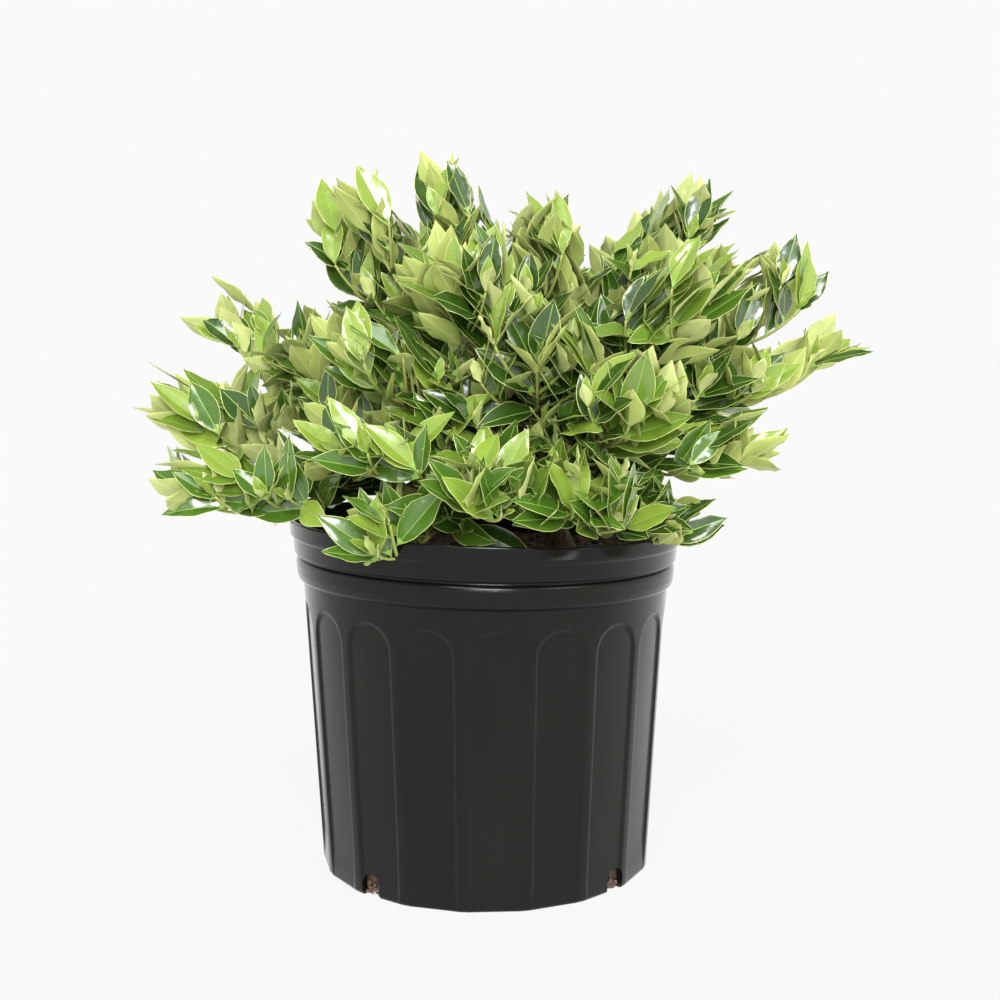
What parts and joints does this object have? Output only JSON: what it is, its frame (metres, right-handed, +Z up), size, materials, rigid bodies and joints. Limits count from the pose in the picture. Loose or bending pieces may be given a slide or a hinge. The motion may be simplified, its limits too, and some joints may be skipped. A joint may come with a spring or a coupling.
{
  "type": "potted carissa holly",
  "caption": "Low evergreen holly with spiny folded glossy leaves on a short woody stem, in a fluted black nursery pot of potting mix.",
  "frame": {"origin": "centre of the pot's flat underside", "axes": "+Z up, -Y the front of the picture's view, +X to the right"},
  "size_m": [0.5284, 0.4084, 0.5122],
  "materials": {
    "pot_plastic": "satin charcoal-black moulded plastic with soft pressed flutes",
    "potting_mix": "moist dark brown bark mix, loose and rough",
    "bark": "grey-brown streaked bark, green towards the tips",
    "foliage": "glossy deep green above with a pale margin and midrib, matte yellow-green beneath"
  },
  "bodies": {
    "root": {"bough_back": "bark", "bough_back_left": "bark", "bough_back_left_high": "bark", "bough_back_low": "bark", "bough_back_right": "bark", "bough_back_right_high": "bark", "bough_back_top": "bark", "bough_front_high": "bark", "bough_front_left": "bark", "bough_front_left_high": "bark", "bough_front_left_low": "bark", "bough_front_low": "bark", "bough_front_right": "bark", "bough_front_right_high": "bark", "bough_front_right_low": "bark", "bough_front_top": "bark", "bough_left": "bark", "bough_left_high": "bark", "bough_left_low": "bark", "bough_left_shoulder": "bark", "bough_right": "bark", "bough_right_high": "bark", "bough_right_low": "bark", "bough_right_mid": "bark", "bough_right_shoulder": "bark", "bough_top": "bark", "bough_upper_left": "bark", "bough_upper_right": "bark", "foliage_back": "foliage", "foliage_back_left": "foliage", "foliage_back_left_high": "foliage", "foliage_back_low": "foliage", "foliage_back_right": "foliage", "foliage_back_right_high": "foliage", "foliage_back_top": "foliage", "foliage_front_high": "foliage", "foliage_front_left": "foliage", "foliage_front_left_high": "foliage", "foliage_front_left_low": "foliage", "foliage_front_low": "foliage", "foliage_front_right": "foliage", "foliage_front_right_high": "foliage", "foliage_front_right_low": "foliage", "foliage_front_top": "foliage", "foliage_left": "foliage", "foliage_left_high": "foliage", "foliage_left_low": "foliage", "foliage_left_shoulder": "foliage", "foliage_right": "foliage", "foliage_right_high": "foliage", "foliage_right_low": "foliage", "foliage_right_mid": "foliage", "foliage_right_shoulder": "foliage", "foliage_top": "foliage", "foliage_upper_left": "foliage", "foliage_upper_right": "foliage", "main_stem": "bark", "pot": "pot_plastic", "soil": "potting_mix"}
  },
  "joints": []
}
